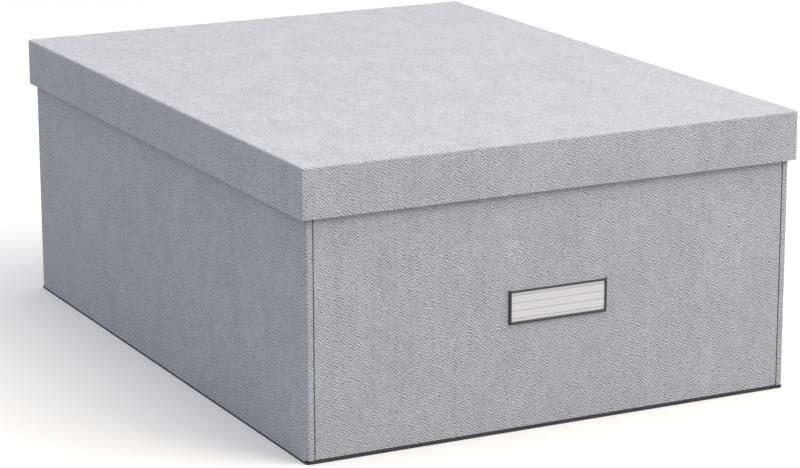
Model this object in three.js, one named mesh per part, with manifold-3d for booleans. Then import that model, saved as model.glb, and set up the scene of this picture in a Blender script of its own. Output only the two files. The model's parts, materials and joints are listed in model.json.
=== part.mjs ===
// A large storage box of covered board with a lift-off lid.
// Millimetres, +Z up, origin on the floor under the middle of the box, front towards -Y.
// Two fixed side walls stand on the rim of the base and turn in round its corners to meet the
// front and back panels. Those panels fold inwards on the base once the lid is off: each has two
// end flaps that lie along the side walls, held there by press studs hidden under the lid's skirt.
import * as THREE from 'three';
import { mergeVertices } from 'three/addons/utils/BufferGeometryUtils.js';
import Module from 'manifold-3d';

const wasm = await Module();
wasm.setup();

// Overall sizes
const lidWidth = 430;
const lidDepth = 570;
const boxHeight = 227;
const lidHeight = 39.4;

// Sheet materials
const boardThick = 2.4;
const coverThick = 0.4;
const liningThick = 0.3;
const glueGap = 0.05;
const turnIn = 12; // width of the cover that is turned over a rim onto the inside

// Lid
const lidPlay = 1;
const lidSeatGap = 0.3;
const lidCornerRadius = 2.2;
const lidEdgeRadius = 1.8;

// Base
const soleBoardThick = 0.8;
const floorBoardThick = 1;
const baseSideGap = 0.3;
const soleCornerRadius = 3;
const floorCornerRadius = 2;

// Side walls
const wallSeatGap = 0.15;
const returnWidth = 6.3; // how far a side wall turns in across the front and back
const cornerRadius = 1.8;
const cornerEase = 7.5; // length over which a side wall leans in before each corner
const cornerLean = Math.PI / 16;

// Front and back panels
const seamGap = 0.9;
const panelFloorGap = 0.15;
const panelDrop = 0.5; // how far a panel's rim lies under the side walls' rims

// End flaps
const flapWidth = 45;
const flapDrop = 1.5;
const flapCornerRadius = 12;
const foldGap = 0.3;
const mitreRise = 0.8;

// Press studs
const snapDrop = 20.5; // from the side wall's rim down to the middle of the stud
const snapInset = 24; // from the flap's fold to the middle of the stud
const snapFit = 0.2;
const capRadius = 6;
const capDome = 0.5;
const capShoulderShares = [0.9, 0.6]; // of the cap's radius and of its dome
const capCrownShares = [0.55, 0.9];
const capShankRadius = 1.8;
const clinch = 0.2;
const socketRadius = 5.4;
const socketDepth = 1.6;
const socketFloor = 0.35;
const studRadius = 2.8;
const studHeight = 1.2;
const studWaist = 0.3;
const flangeRadius = 5;
const flangeThick = 0.5;
const postShankRadius = 1.2;

// Label holder
const labelWidth = 86.6;
const labelHeight = 27.7;
const labelRise = 1.9;
const labelBorder = 2.2;
const labelOuterBevel = 1.1;
const labelInnerBevel = 0.7;
const labelCentreHeight = 99;
const labelShift = 1.7; // the holder sits this far right of the middle
const pocketDepth = 1;
const pocketSideWall = 1.1;
const pocketFloor = 1.45;
const cardThick = 0.4;
const cardGap = 0.3;
const cardTopInset = 0.6;
const prongThick = 0.5;
const prongWidth = 4;
const prongSpread = 12;
const prongBend = 5;
const prongFit = 0.1;

// Drawing
const cornerSteps = 8;
const edgeSteps = 3;
const snapSides = 20;
const overrun = 1; // how far a cutting tool runs past what it cuts
const weld = 1e-4;

// Wall build-up, from outside to inside
const skin = coverThick + glueGap;
const coveredWall = skin + boardThick + skin;
const linedWall = skin + boardThick + glueGap + liningThick;

// The body inside the lid
const bodyX = lidWidth / 2 - linedWall - lidPlay;
const bodyY = lidDepth / 2 - linedWall - lidPlay;
const rimZ = boxHeight - linedWall - lidSeatGap;
const soleTopZ = skin + soleBoardThick + skin;
const floorBoardZ = skin + soleBoardThick + glueGap;
const baseTopZ = floorBoardZ + floorBoardThick + skin;
const wallFootZ = soleTopZ + wallSeatGap;
const returnX = bodyX - returnWidth;
const innerX = bodyX - coveredWall;
const innerY = bodyY - coveredWall;

// The flap's build-up and the fold lines that it sets
const flapThick = boardThick + 2 * (glueGap + liningThick);
const flapOuterX = innerX - foldGap;
const flapInnerX = flapOuterX - flapThick;
const foldX = flapInnerX - foldGap;
const hingeZ = baseTopZ + 2 * foldGap + flapThick + studHeight;
const panelX = returnX - seamGap;
const panelBottomZ = baseTopZ + panelFloorGap;
const panelTopZ = rimZ - panelDrop;

// Press studs are drawn along X, counted from the outer face of the side wall
const snapZ = rimZ - snapDrop;
const flapOuterDepth = bodyX - flapOuterX;
const flapInnerDepth = bodyX - flapInnerX;

// Solids
// A closed geometry as a solid that can be cut and joined.
function solidOf(geometry) {
  const bare = geometry.clone();
  bare.deleteAttribute('normal');
  bare.deleteAttribute('uv');
  const merged = mergeVertices(bare, weld);
  return new wasm.Manifold(new wasm.Mesh({
    numProp: 3,
    vertProperties: new Float32Array(merged.attributes.position.array),
    triVerts: new Uint32Array(merged.index.array),
  }));
}

function geometryOf(solid) {
  const made = solid.getMesh();
  const geometry = new THREE.BufferGeometry();
  geometry.setAttribute('position', new THREE.BufferAttribute(made.vertProperties, made.numProp));
  geometry.setIndex(new THREE.BufferAttribute(made.triVerts, 1));
  const flat = geometry.toNonIndexed();
  flat.computeVertexNormals();
  return flat;
}

function join(body, ...others) {
  return others.reduce((sum, other) => sum.add(other), body);
}

function cut(body, ...tools) {
  return tools.length ? body.subtract(join(...tools)) : body;
}

// A box between two values on each axis.
function block([x0, x1], [y0, y1], [z0, z1]) {
  const box = new THREE.BoxGeometry(x1 - x0, y1 - y0, z1 - z0);
  box.translate((x0 + x1) / 2, (y0 + y1) / 2, (z0 + z1) / 2);
  return solidOf(box);
}

// An outline in X and Y raised from z0 to z1.
function raise(outline, z0, z1) {
  const geometry = new THREE.ExtrudeGeometry(outline, {
    depth: z1 - z0, bevelEnabled: false, curveSegments: cornerSteps,
  });
  geometry.translate(0, 0, z0);
  return solidOf(geometry);
}

// An outline in Y and Z given a thickness along X, from x0 to x1.
function raiseAlongX(outline, x0, x1) {
  const geometry = new THREE.ExtrudeGeometry(outline, {
    depth: x1 - x0, bevelEnabled: false, curveSegments: cornerSteps,
  });
  geometry.rotateX(Math.PI / 2).rotateZ(Math.PI / 2);
  geometry.translate(x0, 0, 0);
  return solidOf(geometry);
}

// A rectangle about the origin with round corners.
function roundedRectangle(halfX, halfY, radius) {
  const outline = new THREE.Shape();
  outline.moveTo(halfX - radius, -halfY);
  outline.absarc(halfX - radius, radius - halfY, radius, -Math.PI / 2, 0);
  outline.absarc(halfX - radius, halfY - radius, radius, 0, Math.PI / 2);
  outline.absarc(radius - halfX, halfY - radius, radius, Math.PI / 2, Math.PI);
  outline.absarc(radius - halfX, radius - halfY, radius, Math.PI, 3 * Math.PI / 2);
  outline.closePath();
  return outline;
}

// A four-sided block with one rectangle at y0 and another at y1, for bevelled edges.
function taperedBlock([halfX0, halfZ0], y0, [halfX1, halfZ1], y1) {
  const box = new THREE.BoxGeometry(1, 1, 1);
  const place = box.attributes.position;
  for (let i = 0; i < place.count; i += 1) {
    const far = place.getY(i) > 0;
    const halfX = far ? halfX1 : halfX0;
    const halfZ = far ? halfZ1 : halfZ0;
    place.setXYZ(i, place.getX(i) * 2 * halfX, far ? y1 : y0, place.getZ(i) * 2 * halfZ);
  }
  return solidOf(box);
}

// A round piece turned about X at the press stud's place: points are [radius, depth], where
// depth counts inwards from the outer face of the side wall.
function turned(points) {
  const profile = points.map(([radius, depth]) => new THREE.Vector2(radius, -depth));
  const geometry = new THREE.LatheGeometry(profile, snapSides);
  geometry.rotateZ(-Math.PI / 2);
  return solidOf(geometry);
}

// A round hole about X at the press stud's place, between two depths.
function bore(radius, depth0, depth1) {
  return turned([[0, depth1], [radius, depth1], [radius, depth0], [0, depth0]]);
}

// Moves what was turned at the origin to a place in the frame of the piece it goes through.
function seat(solid, x, y, z) {
  return solid.translate(x, y, z);
}

// Materials
function finish(color, roughness, metalness = 0) {
  return { color, roughness, metalness };
}
const linenPaper = finish(0xb4b4b8, 0.8);
const darkPaper = finish(0x2b2c2e, 0.6);
const liningPaper = finish(0xc9c8c6, 0.85);
const greyBoard = finish(0x8d8a84, 0.9);
const gunmetal = finish(0x47484b, 0.4, 0.9);
const cardStock = finish(0xd9d8d8, 0.7);
const nickel = finish(0xa9aaac, 0.3, 1);

function piece(name, solid, look) {
  const mesh = new THREE.Mesh(geometryOf(solid), new THREE.MeshStandardMaterial(look));
  mesh.name = name;
  return mesh;
}

function group(...children) {
  const made = new THREE.Group();
  made.add(...children);
  return made;
}

// Base: a thin sole that the side walls stand on, with a floor board between them, wrapped
// together in dark paper. A lining covers the paper's turned edge.
function soleBody(inset, topZ) {
  const outline = roundedRectangle(bodyX - inset, bodyY - inset, soleCornerRadius - inset);
  return raise(outline, inset, topZ);
}

function floorBody(inset, lowZ, topZ) {
  const halfX = innerX - baseSideGap - inset;
  const outline = roundedRectangle(halfX, bodyY - inset, floorCornerRadius - inset);
  return raise(outline, lowZ, topZ);
}

function baseBody(inset) {
  return join(soleBody(inset, soleTopZ - inset), floorBody(inset, inset, baseTopZ - inset));
}

function makeBase() {
  const openX = innerX - baseSideGap - turnIn;
  const openY = bodyY - turnIn;
  const opening = block([-openX, openX], [-openY, openY], [baseTopZ - skin, baseTopZ + overrun]);
  const liningX = openX - glueGap;
  const liningY = openY - glueGap;
  const liningZ = baseTopZ - coverThick;
  return group(
    piece('base_sole_board', soleBody(skin, skin + soleBoardThick), greyBoard),
    piece('base_board', floorBody(skin, floorBoardZ, floorBoardZ + floorBoardThick), greyBoard),
    piece('base_cover', cut(baseBody(0), baseBody(coverThick), opening), darkPaper),
    piece('base_lining', block([-liningX, liningX], [-liningY, liningY],
      [liningZ, liningZ + liningThick]), liningPaper),
  );
}

// Side wall, drawn on the right: a C in plan whose ends lean in a little and then turn round
// the corners
function sidePlan(inset) {
  const x = bodyX - inset;
  const y = bodyY - inset;
  const radius = cornerRadius - inset;
  const leanX = (cornerEase - cornerRadius) * Math.tan(cornerLean);
  const turnX = bodyX - leanX - cornerRadius / Math.cos(cornerLean);
  const turnY = bodyY - cornerRadius;
  const easeY = bodyY - cornerEase - inset * Math.tan(cornerLean / 2);
  const endX = returnX + inset;
  const webX = innerX + inset;
  const backY = innerY + inset;
  const outline = new THREE.Shape();
  outline.moveTo(endX, -y);
  outline.lineTo(turnX, -y);
  outline.absarc(turnX, -turnY, radius, -Math.PI / 2, -cornerLean);
  outline.lineTo(x, -easeY);
  outline.lineTo(x, easeY);
  outline.absarc(turnX, turnY, radius, cornerLean, Math.PI / 2);
  outline.lineTo(endX, y);
  outline.lineTo(endX, backY);
  outline.lineTo(webX, backY);
  outline.lineTo(webX, -backY);
  outline.lineTo(endX, -backY);
  outline.closePath();
  return outline;
}

// The notch at the front lower corner, cut right through the wall: it lifts the corner off the
// sole as far as the front panel's foot.
function cornerNotch(inset) {
  const topZ = panelBottomZ + inset;
  const lowZ = wallFootZ - overrun;
  const slopeY = inset * (Math.SQRT2 - 1) - innerY;
  const outline = new THREE.Shape();
  outline.moveTo(-bodyY - overrun, lowZ);
  outline.lineTo(slopeY + topZ - lowZ, lowZ);
  outline.lineTo(slopeY, topZ);
  outline.lineTo(-bodyY - overrun, topZ);
  outline.closePath();
  return raiseAlongX(outline, returnX - overrun, bodyX + overrun);
}

function sideBody(inset) {
  const notch = cornerNotch(inset);
  const body = raise(sidePlan(inset), wallFootZ + inset, rimZ - inset);
  return cut(body, notch, notch.mirror([0, 1, 0]));
}

function makeSide(side) {
  const innerSkinX = innerX + coverThick;
  const liningY = innerY - glueGap;
  const liningTopZ = rimZ - turnIn;
  const webX = innerX + skin;
  const stripY = innerY + skin;
  const tall = [-overrun, rimZ + overrun];
  const farX = bodyX + overrun;
  const farY = bodyY + overrun;
  const snapY = innerY - snapInset;
  const snapHoles = (tool) => [
    seat(tool, bodyX, -snapY, snapZ),
    seat(tool, bodyX, snapY, snapZ),
  ];
  const through = bore(capShankRadius + snapFit, -overrun, coveredWall + overrun);
  const counterbore = bore(socketRadius + snapFit, linedWall - socketDepth - snapFit,
    coveredWall + overrun);
  const holes = [...snapHoles(through), ...snapHoles(counterbore)];

  const covered = cut(sideBody(0), sideBody(coverThick),
    block([innerX - overrun, webX], [-innerY, innerY], [-overrun, liningTopZ]),
    ...holes);
  const boards = sideBody(skin);
  const web = block([webX, farX], [glueGap - stripY, stripY - glueGap], tall);
  const board = cut(boards.intersect(web), ...holes);
  const strip = boards.intersect(block([returnX, farX], [-farY, -stripY], tall));
  const lining = cut(
    block([innerSkinX - liningThick, innerSkinX], [-liningY, liningY],
      [panelBottomZ, liningTopZ - glueGap]),
    ...holes);
  return group(
    piece(`${side}_side_board`, board, greyBoard),
    piece(`front_${side}_corner_strip`, strip, greyBoard),
    piece(`back_${side}_corner_strip`, strip.mirror([0, 1, 0]), greyBoard),
    piece(`${side}_side_cover`, covered, linenPaper),
    piece(`${side}_side_lining`, lining, liningPaper),
  );
}

// Press stud halves, drawn at the origin with X along the stud's axis
function snapCap() {
  const shankEnd = linedWall - socketDepth + socketFloor + clinch;
  const [shoulder, crown] = [capShoulderShares, capCrownShares].map(
    ([across, out]) => [capRadius * across, -capDome * out]);
  return turned([
    [0, shankEnd],
    [capShankRadius, shankEnd],
    [capShankRadius, -glueGap],
    [capRadius, -glueGap],
    shoulder,
    crown,
    [0, -capDome],
  ]);
}

function snapSocket() {
  const floor = linedWall - socketDepth;
  const mouth = studRadius + snapFit;
  return turned([
    [capShankRadius + snapFit, floor],
    [capShankRadius + snapFit, floor + socketFloor],
    [mouth + studWaist, floor + socketFloor],
    [mouth, linedWall],
    [socketRadius, linedWall],
    [socketRadius, floor],
    [capShankRadius + snapFit, floor],
  ]);
}

function snapStud() {
  const face = flapOuterDepth;
  const neck = studRadius - studWaist;
  const hole = postShankRadius + snapFit;
  return turned([
    [hole, face - studHeight],
    [hole, face + flangeThick],
    [flangeRadius, face + flangeThick],
    [flangeRadius, face],
    [neck, face],
    [studRadius, face - studHeight / 2],
    [neck, face - studHeight],
    [hole, face - studHeight],
  ]);
}

function snapPost() {
  const face = flapInnerDepth;
  const tip = flapOuterDepth - studHeight / 2;
  return turned([
    [0, face],
    [flangeRadius, face],
    [flangeRadius, face - flangeThick],
    [postShankRadius, face - flangeThick],
    [postShankRadius, tip],
    [0, tip],
  ]);
}

function makeWallSnap(corner, y) {
  return group(
    piece(`${corner}_snap_cap`, seat(snapCap(), bodyX, y, snapZ), nickel),
    piece(`${corner}_snap_socket`, seat(snapSocket(), bodyX, y, snapZ), nickel),
  );
}

// End flap, drawn front right with its fold on the Z axis: it lies along +Y, and the height
// counts from the panel's hinge
function flapOutline(inset, foldEnd) {
  const start = foldEnd ?? foldGap + inset;
  const end = foldGap + flapWidth - inset;
  const top = panelTopZ - flapDrop - hingeZ - inset;
  const mitre = mitreRise + inset * Math.SQRT2;
  const radius = flapCornerRadius - inset;
  const outline = new THREE.Shape();
  outline.moveTo(start, start + mitre);
  outline.lineTo(end, end + mitre);
  outline.lineTo(end, top - radius);
  outline.absarc(end - radius, top - radius, radius, 0, Math.PI / 2);
  outline.lineTo(start, top);
  outline.closePath();
  return outline;
}

function makeFlap(corner) {
  const wrap = liningThick + glueGap;
  const innerFace = foldGap;
  const outerFace = foldGap + flapThick;
  const whole = raiseAlongX(flapOutline(0), innerFace, outerFace);
  const hollow = raiseAlongX(flapOutline(liningThick, foldGap - overrun),
    innerFace + liningThick, outerFace - liningThick);
  const core = raiseAlongX(flapOutline(wrap), innerFace + wrap, outerFace - wrap);
  const place = (solid) => seat(solid, bodyX - foldX, snapInset, snapZ - hingeZ);
  const studSeat = place(bore(flangeRadius + snapFit, flapOuterDepth - overrun,
    flapOuterDepth + flangeThick + snapFit));
  const postSeat = place(bore(flangeRadius + snapFit, flapInnerDepth - flangeThick - snapFit,
    flapInnerDepth + overrun));
  const through = place(bore(postShankRadius + snapFit, flapOuterDepth - overrun,
    flapInnerDepth + overrun));
  return group(
    piece(`${corner}_flap_board`, cut(core, studSeat, postSeat, through), greyBoard),
    piece(`${corner}_flap_cover`, cut(whole, hollow, studSeat, postSeat), linenPaper),
    piece(`${corner}_snap_stud`, place(snapStud()), nickel),
    piece(`${corner}_snap_post`, place(snapPost()), nickel),
  );
}

// Front or back panel, drawn as the front one with its hinge on the X axis
function panelBody(inset) {
  return block([inset - panelX, panelX - inset], [inset - coveredWall, -inset],
    [panelBottomZ - hingeZ + inset, panelTopZ - hingeZ - inset]);
}

function makePanel(name, slots, pressed) {
  const top = panelTopZ - hingeZ;
  const bottom = panelBottomZ - hingeZ;
  const liningX = foldX;
  const liningTop = top - turnIn;
  const opening = block([-bodyX, bodyX], [-skin, overrun], [bottom - overrun, liningTop]);
  return group(
    piece(`${name}_board`, cut(panelBody(skin), ...slots, ...pressed), greyBoard),
    piece(`${name}_cover`, cut(panelBody(0), panelBody(coverThick), opening, ...slots),
      linenPaper),
    piece(`${name}_lining`, block([-liningX, liningX], [-coverThick, liningThick - coverThick],
      [bottom, liningTop - glueGap]), liningPaper),
  );
}

// Label holder, drawn about the middle of its back with the panel's face at Y zero
function prongPlaces() {
  const x = labelWidth / 2 - pocketSideWall / 2;
  return [-x, x].flatMap((px) => [-prongSpread / 2, prongSpread / 2].map((pz) => [px, pz]));
}

// One prong goes through the board and is bent towards the middle behind it. With a fit it
// is the slot and the pressed recess that it lies in.
function prong([x, z], fit) {
  const bendY = coveredWall - skin;
  const inwards = -Math.sign(x);
  const leg = [x - prongThick / 2 - fit, x + prongThick / 2 + fit];
  const reach = x + inwards * (prongBend + fit);
  const height = [z - prongWidth / 2 - fit, z + prongWidth / 2 + fit];
  const behind = fit > 0 ? coveredWall - coverThick : bendY;
  const stem = block(leg, [-pocketDepth / 2, behind], height);
  const tab = block([Math.min(leg[0], reach), Math.max(leg[1], reach)],
    [bendY - prongThick - fit, behind], height);
  return { stem, tab };
}

function labelFrame() {
  const halfX = labelWidth / 2;
  const halfZ = labelHeight / 2;
  const ridgeX = halfX - labelOuterBevel;
  const ridgeZ = halfZ - labelOuterBevel;
  const windowX = halfX - labelBorder;
  const windowZ = halfZ - labelBorder;
  const outside = taperedBlock([ridgeX, ridgeZ], -labelRise, [halfX, halfZ], 0);
  const slope = labelInnerBevel / (labelRise - pocketDepth);
  const window = taperedBlock(
    [windowX + labelInnerBevel + slope * overrun, windowZ + labelInnerBevel + slope * overrun],
    -labelRise - overrun,
    [windowX, windowZ], -pocketDepth);
  const pocketX = halfX - pocketSideWall;
  const pocketZ = halfZ - pocketFloor;
  const pocket = block([-pocketX, pocketX], [-pocketDepth - weld, overrun],
    [-pocketZ, halfZ + overrun]);
  const prongs = prongPlaces().flatMap((place) => {
    const { stem, tab } = prong(place, 0);
    return [stem, tab];
  });
  return join(cut(outside, window, pocket), ...prongs);
}

function labelCard() {
  const cardX = labelWidth / 2 - pocketSideWall - cardGap;
  const foot = labelHeight / 2 - pocketFloor - cardGap;
  const behind = (pocketDepth - cardThick) / 2;
  return block([-cardX, cardX], [-behind - cardThick, -behind],
    [-foot, labelHeight / 2 - cardTopInset]);
}

// The outside of the lid with its top edges rounded over.
function lidOutside(inset) {
  const outline = roundedRectangle(lidWidth / 2 - lidEdgeRadius, lidDepth / 2 - lidEdgeRadius,
    lidCornerRadius - lidEdgeRadius);
  const geometry = new THREE.ExtrudeGeometry(outline, {
    depth: lidHeight,
    bevelThickness: lidEdgeRadius - inset,
    bevelSize: lidEdgeRadius - inset,
    bevelSegments: edgeSteps,
    curveSegments: cornerSteps,
  });
  geometry.translate(0, 0, -lidEdgeRadius);
  return solidOf(geometry);
}

// Lid: five boards wrapped in one cover, with a tray-shaped lining
function lidBody(inset) {
  const outline = roundedRectangle(lidWidth / 2 - inset, lidDepth / 2 - inset,
    lidCornerRadius - inset);
  const wall = coveredWall - inset;
  const inside = block([wall - lidWidth / 2, lidWidth / 2 - wall],
    [wall - lidDepth / 2, lidDepth / 2 - wall], [-overrun, lidHeight - wall]);
  const outside = raise(outline, inset, lidHeight).intersect(lidOutside(inset));
  return cut(outside, inside);
}

function makeLid() {
  const width = lidWidth / 2 - skin;
  const depth = lidDepth / 2 - skin;
  const wallX = width - boardThick;
  const wallY = depth - boardThick;
  const topZ = lidHeight - skin - boardThick;
  const innerSkin = coveredWall - coverThick;
  const liningX = lidWidth / 2 - innerSkin;
  const liningY = lidDepth / 2 - innerSkin;
  const liningZ = lidHeight - innerSkin;
  const boards = lidBody(skin);
  const skirt = (x, y) => boards.intersect(block(x, y, [-overrun, topZ - glueGap]));
  const acrossX = [-width - overrun, width + overrun];
  const sideY = [glueGap - wallY, wallY - glueGap];
  const opening = block([-wallX, wallX], [-wallY, wallY], [turnIn, topZ]);
  const lining = cut(
    block([-liningX, liningX], [-liningY, liningY], [turnIn + glueGap, liningZ]),
    block([liningThick - liningX, liningX - liningThick],
      [liningThick - liningY, liningY - liningThick], [-overrun, liningZ - liningThick]));
  return group(
    piece('lid_top_board', boards.intersect(
      block(acrossX, [-depth, depth], [topZ, lidHeight])), greyBoard),
    piece('lid_front_skirt_board', skirt(acrossX, [-depth, -wallY]), greyBoard),
    piece('lid_back_skirt_board', skirt(acrossX, [wallY, depth]), greyBoard),
    piece('lid_left_skirt_board', skirt([-width, -wallX], sideY), greyBoard),
    piece('lid_right_skirt_board', skirt([wallX, width], sideY), greyBoard),
    piece('lid_cover', cut(lidBody(0), lidBody(coverThick), opening), linenPaper),
    piece('lid_lining', lining, liningPaper),
  );
}

// Assembly
function mirroredX(made) {
  made.scale.x = -1;
  return made;
}

function makeWall(side) {
  const snapY = innerY - snapInset;
  return group(
    makeSide(side),
    makeWallSnap(`front_${side}`, -snapY),
    makeWallSnap(`back_${side}`, snapY),
  );
}

// A panel with its two flaps, on its hinge line just behind its inner face.
function makeFoldingPanel(end, ...fittings) {
  const [near, far] = end === 'front' ? ['right', 'left'] : ['left', 'right'];
  const flap = group(makeFlap(`${end}_${near}`));
  const opposite = mirroredX(group(makeFlap(`${end}_${far}`)));
  flap.position.x = foldX;
  opposite.position.x = -foldX;
  return group(...fittings, flap, opposite);
}

const label = group(
  piece('label_frame', labelFrame(), gunmetal),
  piece('label_card', labelCard(), cardStock),
);
const labelZ = labelCentreHeight - hingeZ;
label.position.set(labelShift, -coveredWall, labelZ);

const labelTools = prongPlaces().map((place) => prong(place, prongFit));
const placed = (tool) => tool.translate(labelShift, -coveredWall, labelZ);
const labelSlots = labelTools.map(({ stem }) => placed(stem));
const labelRecesses = labelTools.map(({ tab }) => placed(tab));

const front = makeFoldingPanel('front',
  makePanel('front_panel', labelSlots, labelRecesses), label);
front.position.set(0, -innerY, hingeZ);

const back = makeFoldingPanel('back', makePanel('back_panel', [], []));
back.rotation.z = Math.PI;
back.position.set(0, innerY, hingeZ);

const lid = makeLid();
lid.position.z = boxHeight - lidHeight;

const storageBox = group(
  makeBase(),
  makeWall('right'),
  mirroredX(makeWall('left')),
  front,
  back,
  lid,
);
storageBox.name = 'storage_box';

export default storageBox;
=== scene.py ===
"""Dresses a flat-pack storage box of covered board, and lights it for a still picture.

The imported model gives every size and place. Each operator makes one group of pieces or gives it its
material, and the last one sets up the floor, the lamps and the camera. Lengths are in metres, the
box stands on the floor round the origin, and its front faces -Y.
"""

import json
import math

import bmesh
import bpy
from bpy.props import FloatProperty, FloatVectorProperty, PointerProperty
from mathutils import Matrix, Vector

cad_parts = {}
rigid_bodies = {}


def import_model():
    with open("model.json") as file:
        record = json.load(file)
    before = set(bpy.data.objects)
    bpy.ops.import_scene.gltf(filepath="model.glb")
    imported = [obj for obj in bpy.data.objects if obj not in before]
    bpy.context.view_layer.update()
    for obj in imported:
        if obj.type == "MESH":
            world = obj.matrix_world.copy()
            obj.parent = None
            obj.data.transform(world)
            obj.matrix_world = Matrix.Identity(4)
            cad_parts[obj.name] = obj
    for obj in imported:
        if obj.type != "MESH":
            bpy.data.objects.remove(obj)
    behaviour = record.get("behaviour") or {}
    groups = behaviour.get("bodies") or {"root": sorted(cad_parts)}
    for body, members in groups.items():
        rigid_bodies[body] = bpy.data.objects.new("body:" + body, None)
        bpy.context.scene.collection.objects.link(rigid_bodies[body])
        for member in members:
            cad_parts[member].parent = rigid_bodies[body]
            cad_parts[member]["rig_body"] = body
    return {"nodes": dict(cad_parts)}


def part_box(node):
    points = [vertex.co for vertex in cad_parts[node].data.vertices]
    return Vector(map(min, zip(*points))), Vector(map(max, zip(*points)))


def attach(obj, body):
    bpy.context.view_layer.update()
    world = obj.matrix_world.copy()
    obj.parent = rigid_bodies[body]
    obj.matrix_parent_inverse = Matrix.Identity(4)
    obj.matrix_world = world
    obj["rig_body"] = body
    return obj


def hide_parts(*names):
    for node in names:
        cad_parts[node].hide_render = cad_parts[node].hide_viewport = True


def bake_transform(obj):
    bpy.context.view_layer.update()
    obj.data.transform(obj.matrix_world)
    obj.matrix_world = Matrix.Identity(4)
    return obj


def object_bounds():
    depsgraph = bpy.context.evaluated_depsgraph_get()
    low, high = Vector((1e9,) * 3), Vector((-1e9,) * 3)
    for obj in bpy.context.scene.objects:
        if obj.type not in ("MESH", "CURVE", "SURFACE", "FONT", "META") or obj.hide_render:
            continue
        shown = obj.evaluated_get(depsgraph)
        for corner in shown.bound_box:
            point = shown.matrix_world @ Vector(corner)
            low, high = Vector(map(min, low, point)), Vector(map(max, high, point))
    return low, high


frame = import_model()
cad_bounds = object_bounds()

bl_info = {
    "name": "Covered Storage Box",
    "version": (1, 0, 0),
    "blender": (4, 5, 0),
    "location": "3D View > Sidebar > Storage Box",
    "description": "Dresses a flat-pack storage box in linen-grained paper, on a pale floor",
    "category": "Object",
}

MM = 0.001
SIDES = ("left", "right")
ENDS = ("front", "back")
CORNERS = [f"{end}_{side}" for end in ENDS for side in SIDES]
CREASE = math.radians(40)  # edges sharper than this stay sharp when a piece is shaded
ROUNDED = math.radians(30)  # edges sharper than this are rounded
FLAT = math.radians(0.5)  # faces that meet at less than this are one flat face
MERGE = 0.001 * MM  # corners closer than this are one corner
LEVEL = 0.01 * MM  # what stands out by less than this is level with the wall

# The press studs' profiles, in millimetres: the radius, and the depth from the end that faces out
# of the box. Each is stamped from sheet, so its rims are rolled and its faces slightly crowned.
STUD_PROFILES = {
    "cap": [
        (0, 0), (1.8, 0.01), (3.3, 0.05), (4.4, 0.11), (5.1, 0.17), (5.6, 0.24), (5.88, 0.31),
        (5.95, 0.37), (5.88, 0.42), (5.7, 0.45), (1.8, 0.45), (1.8, 2.65), (0, 2.65)],
    "socket": [
        (2, 0), (2, 0.35), (3.25, 0.35), (3.3, 0.6), (3.15, 1.1), (3.02, 1.35), (3.08, 1.5),
        (3.25, 1.59), (3.5, 1.6), (3.75, 1.52), (3.9, 1.38), (4.1, 1.32), (4.8, 1.32), (5.05, 1.36),
        (5.25, 1.34), (5.38, 1.2), (5.38, 0.1), (5.25, 0), (2, 0)],
    "stud": [
        (1.4, 0.1), (1.5, 0.02), (1.9, 0), (2.3, 0.04), (2.6, 0.2), (2.76, 0.42), (2.78, 0.65),
        (2.68, 0.88), (2.54, 1.05), (2.6, 1.17), (2.9, 1.2), (4.6, 1.2), (4.85, 1.26), (4.95, 1.42),
        (4.85, 1.62), (4.6, 1.7), (1.4, 1.7), (1.4, 0.1)],
    "post": [
        (0, 0), (1.05, 0), (1.2, 0.15), (1.2, 3.2), (4.6, 3.2), (4.85, 3.26), (4.95, 3.38),
        (4.87, 3.5), (4.6, 3.59), (3.9, 3.66), (2.6, 3.69), (0, 3.7)],
}
STUD_STEPS = 48  # facets round a press stud

# The hinge strips' section, in millimetres: how far in from the panel, and how high above the base.
HINGE_SECTION = [(8.4, 0), (1.2, 0), (0.5, 0.2), *((0, 0.9 + 0.4 * step) for step in range(33))]
HINGE_GLUE = 0.05 * MM  # between a hinge strip and what it is glued to
HINGE_CLEARANCE = 2 * MM  # between a hinge strip and a folded flap

# The rim of the label holder's window lies between these two distances from its outline.
RIM_START = 1.3 * MM
RIM_STOP = 2.5 * MM

OVERHEAD_HEIGHT = math.radians(85)  # of the lamp above the box, from the horizon
FLOOR_REACH = 20  # metres from the middle of the floor to its sides
SENSOR = 36  # the camera's sensor is this wide, in millimetres


def linear(colour):
    """An sRGB hex colour as linear red, green and blue, with an alpha of 1."""
    levels = [int(colour[start:start + 2], 16) / 255 for start in (1, 3, 5)]
    return (*(v / 12.92 if v <= 0.04045 else ((v + 0.055) / 1.055) ** 2.4 for v in levels), 1.0)


def colour_property(name, description, colour):
    return FloatVectorProperty(
        name=name, description=description, subtype="COLOR", size=4, min=0, max=1,
        default=linear(colour))


def length_property(name, description, metres):
    return FloatProperty(
        name=name, description=description, unit="LENGTH", subtype="DISTANCE", min=0,
        precision=5, default=metres)


class PaperSettings(bpy.types.PropertyGroup):
    """Sizes and colours of the papers that cover and line the boards"""

    linen: colour_property("Covering", "Colour of the linen-grained paper outside", "#b1b2b9")
    dark: colour_property("Base", "Colour of the paper on the base", "#303134")
    lining: colour_property("Lining", "Colour of the paper inside", "#d9d8d6")
    card: colour_property("Card", "Colour of the label card", "#dddce0")
    rules: colour_property("Rules", "Colour of the card's ruled lines", "#a9adb5")
    board: colour_property("Board", "Colour of the grey board at its cut edges", "#8f8c86")
    pitch: length_property("Thread pitch", "Spacing of the threads in the covering", 1.2 * MM)
    relief: length_property("Thread relief", "Height of the threads in the covering", 0.5 * MM)
    fold: length_property("Fold radius", "How tightly paper turns over a board's edge", 0.5 * MM)
    rim: length_property("Rim radius", "How softly paper turns over the lid's edges", 1.4 * MM)
    rule: length_property("Rule spacing", "Between the card's faint ruled lines", 6 * MM)
    hinge: length_property(
        "Hinge paper", "Thickness of the paper strips that hinge the panels", 0.25 * MM)


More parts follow.
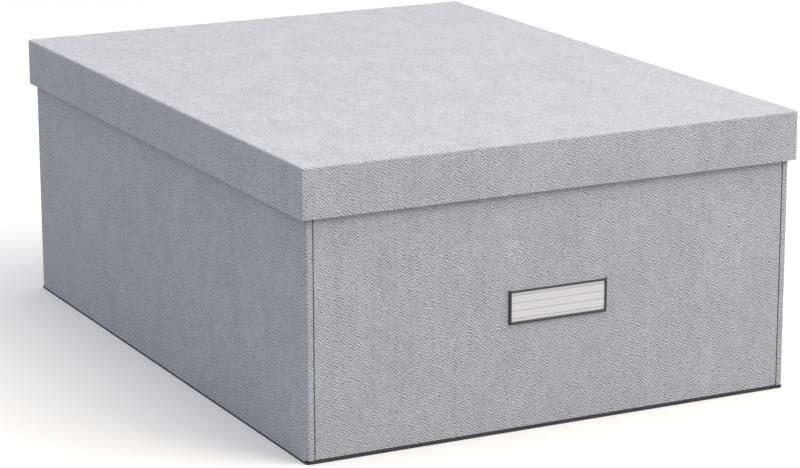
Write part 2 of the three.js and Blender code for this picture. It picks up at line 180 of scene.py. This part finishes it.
class MetalSettings(bpy.types.PropertyGroup):
    """Sizes and colours of the label holder and the press studs"""

    holder: colour_property("Holder", "Colour of the label holder's finish", "#3d3e41")
    stud: colour_property("Studs", "Colour of the press studs' plating", "#c4c3bf")
    arris: length_property("Arris", "Radius of the label holder's edges", 0.15 * MM)
    bar: length_property("Bar", "How far the holder's bars are widened over the card", 0.4 * MM)


class StageSettings(bpy.types.PropertyGroup):
    """The floor, the light and the camera"""

    floor: colour_property("Floor", "Colour that the floor reflects on the box", "#b5b5b5")
    floor_seen: colour_property(
        "Floor seen", "Colour of the floor as the camera sees it", "#e9e9e8")
    sky: colour_property("Sky", "Colour of the light from straight above", "#f1f3ff")
    sky_strength: FloatProperty(
        name="Sky strength", description="Strength of the light from straight above", min=0,
        default=1.48)
    key: colour_property("Key", "Colour of the main lamp", "#fffbea")
    key_power: FloatProperty(
        name="Key power", description="Power of the main lamp", min=0, unit="POWER", default=101)
    key_heading: FloatProperty(
        name="Key heading", description="How far right of the front the main lamp stands",
        subtype="ANGLE", default=math.radians(40))
    key_height: FloatProperty(
        name="Key height", description="How high the main lamp stands above the horizon",
        subtype="ANGLE", default=math.radians(43))
    overhead: colour_property("Overhead", "Colour of the lamp above the box", "#fff2c6")
    overhead_power: FloatProperty(
        name="Overhead power", description="Power of the lamp above the box", min=0, unit="POWER",
        default=40)
    lamp_size: length_property("Lamp size", "Side of each square lamp", 2.5)
    lamp_distance: length_property("Lamp distance", "From the box to each lamp", 4)
    camera: FloatVectorProperty(
        name="Camera", description="Where the camera stands", subtype="TRANSLATION",
        unit="LENGTH", size=3, default=(-1.0794, -2.1428, 0.7006))
    heading: FloatProperty(
        name="Heading", description="How far the camera looks to the right of +Y",
        subtype="ANGLE", default=math.radians(26.94))
    tilt: FloatProperty(
        name="Tilt", description="How far the camera looks down", subtype="ANGLE",
        default=math.radians(14.32))
    roll: FloatProperty(
        name="Roll", description="How far the camera leans", subtype="ANGLE",
        default=math.radians(-0.14))
    lens: FloatProperty(
        name="Lens", description=f"Focal length on a {SENSOR} mm wide sensor", unit="CAMERA",
        default=131.76)


# Materials

# A Mix node's sockets for its factor, A and B: those of its numbers, and those of its colours.
NUMBER_SOCKETS = (0, 2, 3)
COLOUR_SOCKETS = (0, 6, 7)

FACING = 0.7  # a face looks along an axis where its normal has more than this of it
PAPER_IOR = 1.47
RULE_WIDTH = 0.5 * MM  # of a printed line
SHEEN_SWING = 0.16  # how much the roughness of metal varies with its scuffs

# The linen grain
THREAD_BEND = 2.6  # how far a thread wanders from its course, in thread pitches
WARP_COARSENESS = 1.35  # the warp's pitch over the weft's
TWILL_SLANT = 0.355  # how steeply the twill's lines cross the weft
TWILL_SHARE = 0.25  # the twill's height over the plain weave's
STREAK_SQUEEZE = 0.2  # the streaks' width over their height
STROKE_SQUEEZE = 0.35  # the weft strokes' height over their length


def add_node(tree, kind, settings=None, inputs=None):
    """Adds a node with its settings. Each input is a value, or what it is linked to."""
    node = tree.nodes.new("ShaderNode" + kind)
    for name, value in (settings or {}).items():
        setattr(node, name, value)
    pairs = enumerate(inputs) if isinstance(inputs, list) else (inputs or {}).items()
    for name, value in pairs:
        if isinstance(value, bpy.types.Node):
            value = next(socket for socket in value.outputs if socket.enabled)
        if isinstance(value, bpy.types.NodeSocket):
            tree.links.new(value, node.inputs[name])
        else:
            node.inputs[name].default_value = value
    return node


def maths(tree, operation, *inputs):
    return add_node(tree, "Math", {"operation": operation}, list(inputs))


def noise(tree, place, size, detail=2.0):
    """Noise around 0.5, in spots of about the given size."""
    return add_node(tree, "TexNoise", None, {"Vector": place, "Scale": 1 / size, "Detail": detail})


def mixed(tree, factor, first, second):
    """The first number where the factor is 0, and the second where it is 1."""
    return add_node(tree, "Mix", None, dict(zip(NUMBER_SOCKETS, (factor, first, second))))


def mixed_colour(tree, blend, factor, first, second):
    return add_node(
        tree, "Mix", {"data_type": "RGBA", "blend_type": blend},
        dict(zip(COLOUR_SOCKETS, (factor, first, second))))


def tinted(tree, colour, *tones):
    """A colour multiplied by noise: each tone is noise around 0.5 and its swing around 1."""
    made = tuple(colour)
    for tone, swing in tones:
        factor = maths(tree, "MULTIPLY_ADD", tone, swing, 1 - swing / 2)
        made = mixed_colour(tree, "MULTIPLY", 1.0, made, factor)
    return made


def surface(tree, colour, height, depth, settings):
    """Ends a material: its shader, with bumps as deep as given where the height goes up by 1."""
    bump = add_node(tree, "Bump", None, {"Distance": depth, "Height": height})
    shader = add_node(
        tree, "BsdfPrincipled", None, {"Base Color": colour, "Normal": bump, **settings})
    add_node(tree, "OutputMaterial", None, [shader])


def thread_run(tree):
    """Where a point lies along the weft threads and across them, whichever way its face looks."""
    place = add_node(tree, "TexCoord")
    point = add_node(tree, "SeparateXYZ", None, [place.outputs["Object"]])
    normal = add_node(tree, "VectorMath", {"operation": "ABSOLUTE"}, [place.outputs["Normal"]])
    facing = add_node(tree, "SeparateXYZ", None, [normal])
    side = maths(tree, "GREATER_THAN", facing.outputs["X"], FACING)
    level = maths(tree, "GREATER_THAN", facing.outputs["Z"], FACING)
    along = mixed(tree, side, point.outputs["X"], point.outputs["Y"])
    across = mixed(tree, level, point.outputs["Z"], point.outputs["Y"])
    return along, across, place.outputs["Object"]


def linen_weave(tree, along, across, pitch):
    """A plain weave of threads with a slight twill in it, from about -1 to 1."""
    askew = maths(tree, "MULTIPLY_ADD", along, TWILL_SLANT, across)
    warp, weft, twill = (
        maths(tree, "SINE", maths(tree, "MULTIPLY", run, math.pi / pitch / coarse))
        for run, coarse in ((along, WARP_COARSENESS), (across, 1), (askew, 1)))
    plain = maths(tree, "MULTIPLY", warp, weft)
    return maths(tree, "MULTIPLY_ADD", twill, TWILL_SHARE, plain)


def linen_paper(tree, scene):
    """Covering paper, dyed and embossed with a linen grain.

    To the eye it is a dry weave of short pale weft strokes with a slight slant. The hollows between
    the threads are darker as painted shade: the colour is darkened with the weave's height as well
    as bumped. No thread keeps its course or its thickness for long, so the grain looks crisp in
    one place and clouded in the next, and the dye has taken in soft patches and faint upright
    streaks. Real threads are half as wide as these, which are drawn as coarse as they must be to
    show from where the camera stands.
    """
    papers = scene.storage_box_papers
    along, across, place = thread_run(tree)
    upright = add_node(
        tree, "CombineXYZ", None, [along, maths(tree, "MULTIPLY", across, STREAK_SQUEEZE)])
    streak = noise(tree, upright, size=16 * MM)
    drift = add_node(
        tree, "SeparateXYZ", None, [noise(tree, place, size=5 * MM).outputs["Color"]])
    along, across = (
        maths(tree, "MULTIPLY_ADD", drift.outputs[axis], THREAD_BEND * papers.pitch, run)
        for axis, run in (("X", along), ("Y", across)))
    weave = linen_weave(tree, along, across, papers.pitch)
    mask = add_node(tree, "MapRange", None, {
        "Value": noise(tree, place, size=3 * MM), "From Min": 0.3, "From Max": 0.62,
        "To Min": 0.05, "To Max": 0.5})
    height = maths(tree, "MULTIPLY_ADD", weave, mask, 0.5)
    drawn_out = add_node(
        tree, "CombineXYZ", None, [maths(tree, "MULTIPLY", along, STROKE_SQUEEZE), across])
    stroke = noise(tree, drawn_out, size=1.2 * MM, detail=1.0)
    blotch = noise(tree, place, size=9 * MM)
    cloud = noise(tree, place, size=45 * MM)
    # the weave's height darkens the colour in the hollows between the threads, as painted shade; the
    # other tones are random strokes, patches, streaks and clouds in the dye
    colour = tinted(
        tree, papers.linen, (height, 1.1), (stroke, 0.5), (blotch, 0.22), (streak, 0.16),
        (cloud, 0.14))
    surface(
        tree, colour, height, depth=papers.relief,
        settings={"Roughness": 0.82, "IOR": PAPER_IOR})


def plain_paper(tree, colour, roughness, fibre_depth, mottle):
    """Paper without a grain: nearly plain, with a short soft fibre and slight clouds."""
    place = add_node(tree, "TexCoord").outputs["Object"]
    fibre = noise(tree, place, size=0.7 * MM, detail=3.0)
    cloud = noise(tree, place, size=30 * MM, detail=3.0)
    surface(
        tree, tinted(tree, colour, (fibre, mottle), (cloud, mottle)), fibre, depth=fibre_depth,
        settings={"Roughness": roughness, "IOR": PAPER_IOR})


def ruled_card(tree, scene):
    """Smooth white card with faint blue-grey rules to write on, and nothing else printed on it."""
    papers = scene.storage_box_papers
    place = add_node(tree, "TexCoord").outputs["Object"]
    height = add_node(tree, "SeparateXYZ", None, [place]).outputs["Z"]
    line = maths(tree, "PINGPONG", height, papers.rule / 2)
    printed = maths(tree, "LESS_THAN", line, RULE_WIDTH / 2)
    fibre = noise(tree, place, size=0.7 * MM, detail=3.0)
    blank = tinted(tree, papers.card, (fibre, 0.05))
    colour = mixed_colour(tree, "MIX", printed, blank, tuple(papers.rules))
    surface(
        tree, colour, fibre, depth=0.01 * MM, settings={"Roughness": 0.6, "IOR": PAPER_IOR})


def grey_board(tree, scene):
    """Grey board pressed from waste paper: dull, with dark and pale specks of old print."""
    place = add_node(tree, "TexCoord").outputs["Object"]
    speck = noise(tree, place, size=0.9 * MM, detail=4.0)
    colour = tinted(tree, scene.storage_box_papers.board, (speck, 0.5))
    surface(tree, colour, speck, depth=0.1 * MM, settings={"Roughness": 0.9})


def metal(tree, colour, metallic, roughness, grain):
    """Stamped sheet metal under a thin finish, with the faint scuffs of the tumbling drum."""
    place = add_node(tree, "TexCoord").outputs["Object"]
    scuff = noise(tree, place, size=grain, detail=4.0)
    sheen = maths(tree, "MULTIPLY_ADD", scuff, SHEEN_SWING, roughness - SHEEN_SWING / 2)
    surface(
        tree, tinted(tree, colour, (scuff, 0.12)), scuff, depth=0.01 * MM,
        settings={"Metallic": metallic, "Roughness": sheen})


def seen_rays(tree):
    """1 for rays that come from the camera or a reflection, and 0 for rays that light things."""
    path = add_node(tree, "LightPath")
    seen = maths(
        tree, "MAXIMUM", path.outputs["Is Camera Ray"], path.outputs["Is Glossy Ray"])
    return maths(tree, "MAXIMUM", seen, path.outputs["Is Transmission Ray"])


def studio_floor(tree, scene):
    """A matt floor that the camera sees as white wherever no shadow falls."""
    stage = scene.storage_box_stage
    dull = add_node(tree, "BsdfDiffuse", None, {"Color": tuple(stage.floor)})
    pale = add_node(tree, "BsdfDiffuse", None, {"Color": tuple(stage.floor_seen)})
    matt = add_node(tree, "MixShader", None, [seen_rays(tree), dull, pale])
    add_node(tree, "OutputMaterial", None, [matt])


FINISHES = {
    "linen_paper": ("Linen paper, dyed and embossed", linen_paper),
    "dark_paper": ("Dyed paper, calendered", lambda tree, scene: plain_paper(
        tree, scene.storage_box_papers.dark, roughness=0.55, fibre_depth=0.02 * MM,
        mottle=0.16)),
    "lining_paper": ("Offset paper, uncoated", lambda tree, scene: plain_paper(
        tree, scene.storage_box_papers.lining, roughness=0.85, fibre_depth=0.03 * MM,
        mottle=0.06)),
    "card_stock": ("Bristol card, calendered and ruled", ruled_card),
    "grey_board": ("Grey board, pressed", grey_board),
    "label_metal": ("Steel, stamped and lacquered", lambda tree, scene: metal(
        tree, scene.storage_box_metals.holder, metallic=0.1, roughness=0.6, grain=0.6 * MM)),
    "stud_metal": ("Brass, stamped and nickel plated", lambda tree, scene: metal(
        tree, scene.storage_box_metals.stud, metallic=1.0, roughness=0.25, grain=0.8 * MM)),
    "floor": ("Studio floor, matt", studio_floor),
}


def finish_of(slot, context):
    """The material of one of the record's slots, made when a piece first asks for it."""
    name, paint = FINISHES[slot]
    if name not in bpy.data.materials:
        material = bpy.data.materials.new(name)
        material.use_nodes = True
        material.node_tree.nodes.clear()
        paint(material.node_tree, context.scene)
    return bpy.data.materials[name]


# Meshes


def copied(node):
    """A CAD node's shape as a mesh whose flat faces are whole again."""
    mesh = bmesh.new()
    mesh.from_mesh(frame["nodes"][node].data)
    bmesh.ops.remove_doubles(mesh, verts=mesh.verts, dist=MERGE)
    bmesh.ops.dissolve_limit(mesh, angle_limit=FLAT, verts=mesh.verts, edges=mesh.edges)
    return mesh


def face_width(face):
    """The width of a long face, and half the side of a square one."""
    return 2 * face.calc_area() / face.calc_perimeter()


def round_edges(mesh, radius, narrowest, segments=3):
    """Rounds the outward edges between faces that are at least as wide as the narrowest."""
    mesh.normal_update()
    chosen = [
        edge for edge in mesh.edges
        if edge.is_manifold and edge.is_convex and edge.calc_face_angle() > ROUNDED
        and min(face_width(face) for face in edge.link_faces) > narrowest]
    bmesh.ops.bevel(
        mesh, geom=chosen, offset=radius, segments=segments, profile=0.5, affect="EDGES",
        clamp_overlap=True)


def in_order(mesh):
    """The same mesh with its corners and faces in an order that is the same in every run.

    Spinning or thickening a mesh leaves them in an order that varies.
    """
    corners = sorted(mesh.verts, key=lambda corner: tuple(corner.co))
    numbers = {corner: number for number, corner in enumerate(corners)}
    loops = []
    for face in mesh.faces:
        loop = [numbers[corner] for corner in face.verts]
        first = loop.index(min(loop))
        loops.append(loop[first:] + loop[:first])
    ordered = bmesh.new()
    placed = [ordered.verts.new(corner.co) for corner in corners]
    for loop in sorted(loops):
        ordered.faces.new([placed[number] for number in loop])
    mesh.free()
    return ordered


def turned(profile, node):
    """A round piece turned about X in the place of a CAD node."""
    low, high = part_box(node)
    inwards = 1 if low[0] < 0 else -1
    place = Vector((low[0] if inwards > 0 else high[0], *((low + high) / 2)[1:]))
    mesh = bmesh.new()
    ring = [
        mesh.verts.new(place + Vector((inwards * depth, radius, 0)) * MM)
        for radius, depth in profile]
    edges = [mesh.edges.new(pair) for pair in zip(ring, ring[1:])]
    bmesh.ops.spin(
        mesh, geom=ring + edges, cent=place, axis=(1, 0, 0), angle=math.tau, steps=STUD_STEPS,
        use_merge=True)
    bmesh.ops.remove_doubles(mesh, verts=mesh.verts, dist=MERGE)
    bmesh.ops.recalc_face_normals(mesh, faces=mesh.faces)
    return in_order(mesh)


def widen_bars(mesh, node, wall, width):
    """Moves the rim of the label holder's window inwards, where it stands out from the wall."""
    low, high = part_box(node)
    bars = [
        (vertex, axis) for vertex in mesh.verts for axis in (0, 2)
        if vertex.co.y < wall - LEVEL
        and all(low[way] + RIM_START < vertex.co[way] < high[way] - RIM_START for way in (0, 2))]
    for vertex, axis in bars:
        if vertex.co[axis] < low[axis] + RIM_STOP:
            vertex.co[axis] += width
        elif vertex.co[axis] > high[axis] - RIM_STOP:
            vertex.co[axis] -= width


def hinge_strip(end, thickness):
    """The paper strip in the corner between a panel's foot and the base.

    It lies on the base and runs up the panel past its axis, between the two folded flaps.
    """
    inwards = 1 if end == "front" else -1
    low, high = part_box(f"{end}_panel_cover")
    wall = (high.y if end == "front" else low.y) + inwards * HINGE_GLUE
    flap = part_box(f"{end}_right_flap_cover")
    reach = high.x - abs(flap[1].y - flap[0].y) - HINGE_CLEARANCE
    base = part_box("base_cover")[1].z + HINGE_GLUE
    mesh = bmesh.new()
    left, right = (
        [mesh.verts.new((x, wall + inwards * away * MM, base + rise * MM))
         for away, rise in HINGE_SECTION]
        for x in (-reach, reach))
    for corners in zip(left, right, right[1:], left[1:]):
        mesh.faces.new(corners)
    bmesh.ops.recalc_face_normals(mesh, faces=mesh.faces)
    mesh.normal_update()
    # A face thickens behind its back, and the strip thickens into the box, so it has to look out.
    if mesh.faces[-1].normal.y * inwards > 0:
        bmesh.ops.reverse_faces(mesh, faces=mesh.faces)
    bmesh.ops.solidify(mesh, geom=mesh.faces[:], thickness=thickness)
    bmesh.ops.recalc_face_normals(mesh, faces=mesh.faces)
    return in_order(mesh)


def new_piece(mesh, name, slot, context):
    """Makes a piece from a mesh, with its material."""
    data = bpy.data.meshes.new(name)
    mesh.to_mesh(data)
    mesh.free()
    data.shade_smooth()
    data.set_sharp_from_angle(angle=CREASE)
    data.materials.append(finish_of(slot, context))
    piece = bpy.data.objects.new(name, data)
    context.scene.collection.objects.link(piece)
    normals = piece.modifiers.new("Even shading", "WEIGHTED_NORMAL")
    normals.keep_sharp = True
    return piece


def add_piece(mesh, name, slot, context, *nodes):
    """Makes a piece that stands for CAD nodes of one body, and rides on that body."""
    piece = new_piece(mesh, name, slot, context)
    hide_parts(*nodes)
    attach(piece, frame["nodes"][nodes[0]]["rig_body"])
    return piece


def cover_board(node, name, slot, context, radius):
    """The paper of a CAD node with its folds rounded over the board's edges."""
    mesh = copied(node)
    round_edges(mesh, radius, narrowest=1 * MM)
    return add_piece(mesh, name, slot, context, node)


def finish_node(node, slot, context):
    """Gives a CAD node, whose shape is right as it is, its material."""
    data = frame["nodes"][node].data
    data.materials.clear()
    data.materials.append(finish_of(slot, context))


# Operators


class MakeBase(bpy.types.Operator):
    """Covers the base board in dark paper and lines it"""

    bl_idname = "storage_box.make_base"
    bl_label = "Base"

    def execute(self, context):
        papers = context.scene.storage_box_papers
        cover_board("base_cover", "base_paper", "dark_paper", context, papers.fold)
        finish_node("base_board", "grey_board", context)
        finish_node("base_sole_board", "grey_board", context)
        finish_node("base_lining", "lining_paper", context)
        return {"FINISHED"}


class MakeSides(bpy.types.Operator):
    """Covers the side walls and their rounded corners, and lines them"""

    bl_idname = "storage_box.make_sides"
    bl_label = "Side walls"

    def execute(self, context):
        papers = context.scene.storage_box_papers
        for side in SIDES:
            cover_board(
                f"{side}_side_cover", f"{side}_side_paper", "linen_paper", context, papers.fold)
            finish_node(f"{side}_side_board", "grey_board", context)
            finish_node(f"{side}_side_lining", "lining_paper", context)
        for corner in CORNERS:
            finish_node(f"{corner}_corner_strip", "grey_board", context)
        return {"FINISHED"}


class MakePanels(bpy.types.Operator):
    """Covers and lines the front and back panels and their end flaps, and hinges the panels"""

    bl_idname = "storage_box.make_panels"
    bl_label = "Panels and flaps"

    def execute(self, context):
        papers = context.scene.storage_box_papers
        for end in ENDS:
            cover_board(
                f"{end}_panel_cover", f"{end}_panel_paper", "linen_paper", context, papers.fold)
            finish_node(f"{end}_panel_board", "grey_board", context)
            finish_node(f"{end}_panel_lining", "lining_paper", context)
            strip = new_piece(
                hinge_strip(end, papers.hinge), f"{end}_hinge_strip", "dark_paper", context)
            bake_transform(strip)
        for corner in CORNERS:
            cover_board(
                f"{corner}_flap_cover", f"{corner}_flap_paper", "linen_paper", context,
                papers.fold)
            finish_node(f"{corner}_flap_board", "grey_board", context)
        return {"FINISHED"}


class MakeLid(bpy.types.Operator):
    """Covers and lines the lid"""

    bl_idname = "storage_box.make_lid"
    bl_label = "Lid"

    def execute(self, context):
        papers = context.scene.storage_box_papers
        cover_board("lid_cover", "lid_paper", "linen_paper", context, papers.rim)
        for part in ("top", "front_skirt", "back_skirt", "left_skirt", "right_skirt"):
            finish_node(f"lid_{part}_board", "grey_board", context)
        finish_node("lid_lining", "lining_paper", context)
        return {"FINISHED"}


class MakeLabel(bpy.types.Operator):
    """Finishes the label holder and its blank card"""

    bl_idname = "storage_box.make_label"
    bl_label = "Label holder"

    def execute(self, context):
        metals = context.scene.storage_box_metals
        mesh = copied("label_frame")
        widen_bars(mesh, "label_frame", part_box("front_panel_cover")[0].y, metals.bar)
        round_edges(mesh, metals.arris, narrowest=0.3 * MM, segments=2)
        add_piece(mesh, "label_holder", "label_metal", context, "label_frame")
        finish_node("label_card", "card_stock", context)
        return {"FINISHED"}


class MakeStuds(bpy.types.Operator):
    """Turns the press studs at the four corners"""

    bl_idname = "storage_box.make_studs"
    bl_label = "Press studs"

    def execute(self, context):
        for corner in CORNERS:
            for part, profile in STUD_PROFILES.items():
                node = f"{corner}_snap_{part}"
                add_piece(
                    turned(profile, node), f"{corner}_press_{part}", "stud_metal", context, node)
        return {"FINISHED"}


class SetStage(bpy.types.Operator):
    """Sets up the floor, the lamps and the camera"""

    bl_idname = "storage_box.set_stage"
    bl_label = "Floor, light and camera"

    def execute(self, context):
        scene, stage = context.scene, context.scene.storage_box_stage
        scene.view_settings.view_transform = "Standard"
        self.lay_floor(context)
        self.light_world(scene, stage)
        self.hang_lamp(
            scene, "key_lamp", stage.key, stage.key_power, stage.key_heading, stage.key_height)
        self.hang_lamp(
            scene, "overhead_lamp", stage.overhead, stage.overhead_power, heading=0,
            height=OVERHEAD_HEIGHT)
        self.place_camera(scene, stage)
        return {"FINISHED"}

    def lay_floor(self, context):
        mesh = bmesh.new()
        bmesh.ops.create_grid(mesh, x_segments=1, y_segments=1, size=FLOOR_REACH)
        data = bpy.data.meshes.new("floor")
        mesh.to_mesh(data)
        mesh.free()
        data.materials.append(finish_of("floor", context))
        floor = bpy.data.objects.new("floor", data)
        context.scene.collection.objects.link(floor)

    def light_world(self, scene, stage):
        world = bpy.data.worlds.new("Studio")
        scene.world = world
        world.use_nodes = True
        tree = world.node_tree
        tree.nodes.clear()
        direction = add_node(tree, "TexCoord").outputs["Generated"]
        height = add_node(tree, "SeparateXYZ", None, [direction]).outputs["Z"]
        dark = add_node(tree, "Background", None, [linear("#000000"), 0.0])
        sky = add_node(tree, "Background", None, [tuple(stage.sky), stage.sky_strength])
        light = add_node(tree, "MixShader", None, [height, dark, sky])
        white = add_node(tree, "Background", None, [linear("#ffffff"), 1.0])
        studio = add_node(tree, "MixShader", None, [seen_rays(tree), light, white])
        add_node(tree, "OutputWorld", None, [studio])

    def hang_lamp(self, scene, name, colour, power, heading, height):
        """Hangs a square soft lamp that faces the box, its heading counted from the front."""
        stage = scene.storage_box_stage
        data = bpy.data.lights.new(name, "AREA")
        data.shape = "SQUARE"
        data.size = stage.lamp_size
        data.energy = power
        data.color = colour[:3]
        lamp = bpy.data.objects.new(name, data)
        scene.collection.objects.link(lamp)
        level = math.cos(height)
        towards = Vector((
            level * math.sin(heading), -level * math.cos(heading), math.sin(height)))
        lamp.location = (cad_bounds[0] + cad_bounds[1]) / 2 + towards * stage.lamp_distance
        lamp.rotation_euler = towards.to_track_quat("Z", "Y").to_euler()

    def place_camera(self, scene, stage):
        data = bpy.data.cameras.new("camera")
        data.sensor_width = SENSOR
        data.lens = stage.lens
        camera = bpy.data.objects.new("camera", data)
        scene.collection.objects.link(camera)
        aim = (
            Matrix.Rotation(-stage.heading, 4, "Z")
            @ Matrix.Rotation(math.pi / 2 - stage.tilt, 4, "X")
            @ Matrix.Rotation(stage.roll, 4, "Z"))
        camera.matrix_world = Matrix.Translation(stage.camera) @ aim
        scene.camera = camera


OPERATORS = (MakeBase, MakeSides, MakePanels, MakeLid, MakeLabel, MakeStuds, SetStage)


class StorageBoxPanel(bpy.types.Panel):
    """Lists the steps that dress the storage box"""

    bl_idname = "VIEW3D_PT_storage_box"
    bl_label = "Storage Box"
    bl_space_type = "VIEW_3D"
    bl_region_type = "UI"
    bl_category = "Storage Box"

    def draw(self, context):
        layout = self.layout
        for title, group in (
                ("Papers", context.scene.storage_box_papers),
                ("Metals", context.scene.storage_box_metals),
                ("Stage", context.scene.storage_box_stage)):
            layout.label(text=title)
            for name in group.__annotations__:
                layout.prop(group, name)
        for operator in OPERATORS:
            layout.operator(operator.bl_idname)


SETTINGS = {
    "storage_box_papers": PaperSettings,
    "storage_box_metals": MetalSettings,
    "storage_box_stage": StageSettings,
}


def register():
    for name, group in SETTINGS.items():
        bpy.utils.register_class(group)
        setattr(bpy.types.Scene, name, PointerProperty(type=group))
    for kind in (*OPERATORS, StorageBoxPanel):
        bpy.utils.register_class(kind)


def unregister():
    for kind in (StorageBoxPanel, *reversed(OPERATORS)):
        bpy.utils.unregister_class(kind)
    for name, group in SETTINGS.items():
        delattr(bpy.types.Scene, name)
        bpy.utils.unregister_class(group)


def main():
    register()
    bpy.ops.storage_box.make_base()
    bpy.ops.storage_box.make_sides()
    bpy.ops.storage_box.make_panels()
    bpy.ops.storage_box.make_lid()
    bpy.ops.storage_box.make_label()
    bpy.ops.storage_box.make_studs()
    bpy.ops.storage_box.set_stage()


if __name__ == "__main__":
    main()
